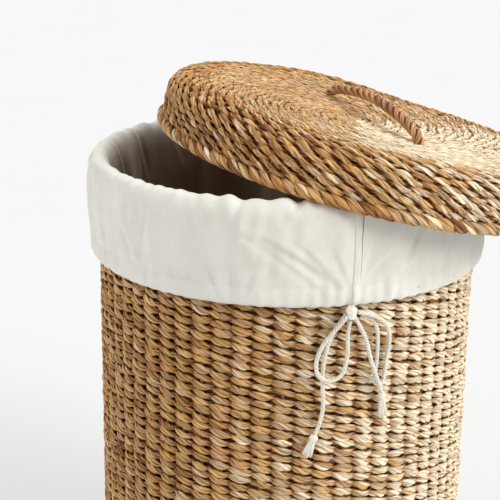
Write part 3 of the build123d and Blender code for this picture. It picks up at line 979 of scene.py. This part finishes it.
def liner_base(look):
    """The liner's round bottom, a little wavy."""
    low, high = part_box("liner_bottom")
    columns, rows = 120, 40
    angle = evenly_round(columns)[None]
    reach = np.linspace(0.002, (high.x - low.x) / 2, rows)[:, None]
    wave = 0.8 * ripple(angle, 3, 17, 12, reach / MM, 0.05) * np.clip(reach / 0.05, 0, 1)
    z = (low.z + high.z) / 2 + (0.9 + wave) * MM
    points = polar(reach, angle, z)
    disc = new_piece("liner_base", points.reshape(-1, 3), grid_faces(rows, columns), look, "liner",
                     caps=[np.arange(columns)[::-1]])
    store(disc, "cloth", points.reshape(-1, 3))
    # painted shade: the bottom, deep inside the liner, almost fully tinted
    store(disc, "shade", np.full(points.shape[:2], 0.95))
    thicken(disc, 0.7 * MM)
    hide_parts("liner_bottom")


def squarish(wave):
    """A sine or cosine for a rounded box in place of a circle."""
    return np.sign(wave) * np.abs(wave) ** 0.62


def hem(look):
    """The turned hem with its gathers, a closed channel behind the cuff's edge."""
    columns, sides = 480, 28
    angle, turn = evenly_round(columns)[:, None], evenly_round(sides)[None]
    middle, half_wide = 200.5, 1.9
    z_middle, half_high = (hem_low + hem_high) / 2 / MM, (hem_high - hem_low) / 2 / MM - 0.6
    pucker = 0.3 * ripple(angle, 70, 130, 14, turn, 0.6)
    r = middle + half_wide * squarish(np.cos(turn)) + pucker * np.clip(-np.cos(turn), 0, 1)
    z = z_middle + half_high * squarish(np.sin(turn)) + 0 * angle
    points = polar(r, angle, z) * MM
    piece = new_piece("hem_channel", points.reshape(-1, 3), ring_faces(columns, sides), look,
                      "liner")
    mark_cloth(piece, angle * 0.2, z * MM, np.zeros(r.shape))
    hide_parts("hem_casing")


def ring_faces(rows, columns):
    """Faces of a tube that closes on itself both ways."""
    index = np.arange(rows * columns).reshape(rows, columns)
    next_row, next_column = np.roll(index, -1, axis=0), np.roll(index, -1, axis=1)
    both = np.roll(next_row, -1, axis=1)
    return np.stack([index, next_row, both, next_column], axis=-1).reshape(-1, 4)


def hem_stitches(cuff, look):
    """Short stitches of thread in a row above the hem."""
    count, length, thick = 380, 2.1 * MM, 0.24 * MM
    angle = evenly_round(count)
    centre = cuff.points(angle, np.full(count, cuff.end - stitch_line), 0.4 * MM)
    along, out = polar(1, angle + pi / 2, 0), polar(1, angle, 0)
    at = np.linspace(-0.5, 0.5, 5)
    dip = (1 - (2 * at) ** 2)[None, :, None] * 0.25 * MM
    line = centre[:, None] + along[:, None] * (at * length)[None, :, None] + out[:, None] * dip
    taper = thick * np.sqrt(np.clip(1.05 - (2 * at) ** 2, 0.05, 1))[None]
    outward = np.broadcast_to(out[:, None], line.shape)
    strand_piece("hem_stitches", line, outward, taper, taper, 0.5, 1.0, look, "liner", "cord",
                 closed=False, sides=5, ridge=0.0)


def side_seam(cuff, look, dark):
    """The felled seam down the cuff beside the bow: a doubled band, and a dark line of painted shadow along
    its edge.
    """
    edge = radians(-90 + seam_degrees)
    lifted = 0.75 * np.array([0, 0.8, 1, 1, 1, 1, 1, 0.9, 0.0]) * MM + 0.25 * MM
    top, rows, columns = 9 * MM, 60, len(lifted)
    band = np.linspace(-7.0, 0.0, columns) * MM / cuff_radius + edge
    at = np.linspace(top, cuff.end - 4 * MM, rows)
    points = cuff.points(band[None], at[:, None], lifted[None])
    faces = grid_faces(rows, columns, closed=False)[:, ::-1]
    strip = new_piece("side_seam_band", points.reshape(-1, 3), faces, look, "liner")
    mark_cloth(strip, band[None] * 0.2, at[:, None], np.zeros(points.shape[:2]))
    thicken(strip, 0.3 * MM)
    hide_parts("side_seam")
    # painted shadow: a thin dark strand along the band's edge, thinning towards the bottom
    line_at = np.linspace(top, 80 * MM, 70)
    line = cuff.points(edge + 0.9 * MM / cuff_radius, line_at, 0.15 * MM)[None]
    taper = np.interp(line_at / MM, [9, 34, 60, 80], [0.7, 0.55, 0.3, 0.05])[None] * MM
    out = unit(line * (1, 1, 0))
    strand_piece("side_seam_shadow_line", line, out, taper, 0.35 * MM, 0.3, 1.0, dark, "liner", "cotton",
                 closed=False, sides=6, ridge=0.0)


# ---- surroundings ----
def floor_and_lights():
    """A pale round floor and soft light from three sides."""
    scene = bpy.context.scene
    scene.view_settings.view_transform = "Standard"
    look, tree, shader = new_look("floor", 0.9, 0.1)
    place = add_node(tree, "TexCoord").outputs["Object"]
    fine = noise(tree, place, 3.0)
    tree.links.new(ramp(tree, fine, [(0.0, 0.40), (1.0, 0.42)]), shader.inputs["Base Color"])
    shader.inputs["Emission Color"].default_value = (1, 1, 1, 1)
    shader.inputs["Emission Strength"].default_value = 0.43
    mesh = bpy.data.meshes.new("floor")
    side, count = 14.0, 64
    mesh.from_pydata(polar(side, evenly_round(count), 0).tolist(), [], [range(count)])
    mesh.materials.append(look)
    floor = bpy.data.objects.new("floor", mesh)
    scene.collection.objects.link(floor)
    world = bpy.data.worlds.new("studio")
    world.use_nodes = True
    world.node_tree.nodes["Background"].inputs["Color"].default_value = (0.97, 0.98, 1.0, 1)
    world.node_tree.nodes["Background"].inputs["Strength"].default_value = 0.24
    scene.world = world
    sun("key", 62, 34, 2.5, 36, (1.0, 0.99, 0.97))
    sun("fill", -80, 30, 1.3, 60, (0.97, 0.99, 1.0))
    sun("top", 150, 62, 1.3, 60, (1.0, 1.0, 1.0))


def sun(name, azimuth, elevation, strength, spread, colour):
    """A soft distant light; azimuth is from the front towards +X, in degrees."""
    data = bpy.data.lights.new(name, "SUN")
    data.energy, data.angle, data.color = strength, radians(spread), colour
    light = bpy.data.objects.new(name, data)
    bpy.context.scene.collection.objects.link(light)
    side, high = radians(azimuth), radians(elevation)
    towards = Vector((sin(side) * cos(high), -cos(side) * cos(high), sin(high)))
    light.rotation_euler = (-towards).to_track_quat("-Z", "Y").to_euler()


def repaint(names, look):
    """Gives CAD nodes a finished material."""
    for name in names:
        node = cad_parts[name]
        node.data.materials.clear()
        node.data.materials.append(look)


def build():
    make_camera()
    cord = cord_look()
    drawcord_bow(cord)
    grass = plant_look("seagrass", seagrass_stops)
    rope = plant_look("rope", rope_stops)
    basket_wall(grass)
    basket_borders(grass)
    basket_base(grass)
    cuff = Cuff()
    cotton = cloth_look()
    liner_cloth(cuff, cotton)
    hem(cotton)
    hem_stitches(cuff, cord)
    # the dark material of the seam's painted shadow line
    side_seam(cuff, cotton, cane_look("seam_shadow", srgb(120, 98, 76)))
    lid_weave(grass)
    lid_edge(grass)
    cane = cane_look("cane", srgb(176, 136, 90))
    lid_spokes(cane)
    lid_handle(rope)
    repaint(["stakes", "base_sticks", "base_centre", "lid_centre"], cane)
    repaint(["rim_hoop", "lid_hoop"], cane_look("hoop_cane", srgb(150, 110, 70)))
    repaint(["drawcord"], cane_look("hidden_cord", srgb(225, 218, 200)))
    floor_and_lights()


build()
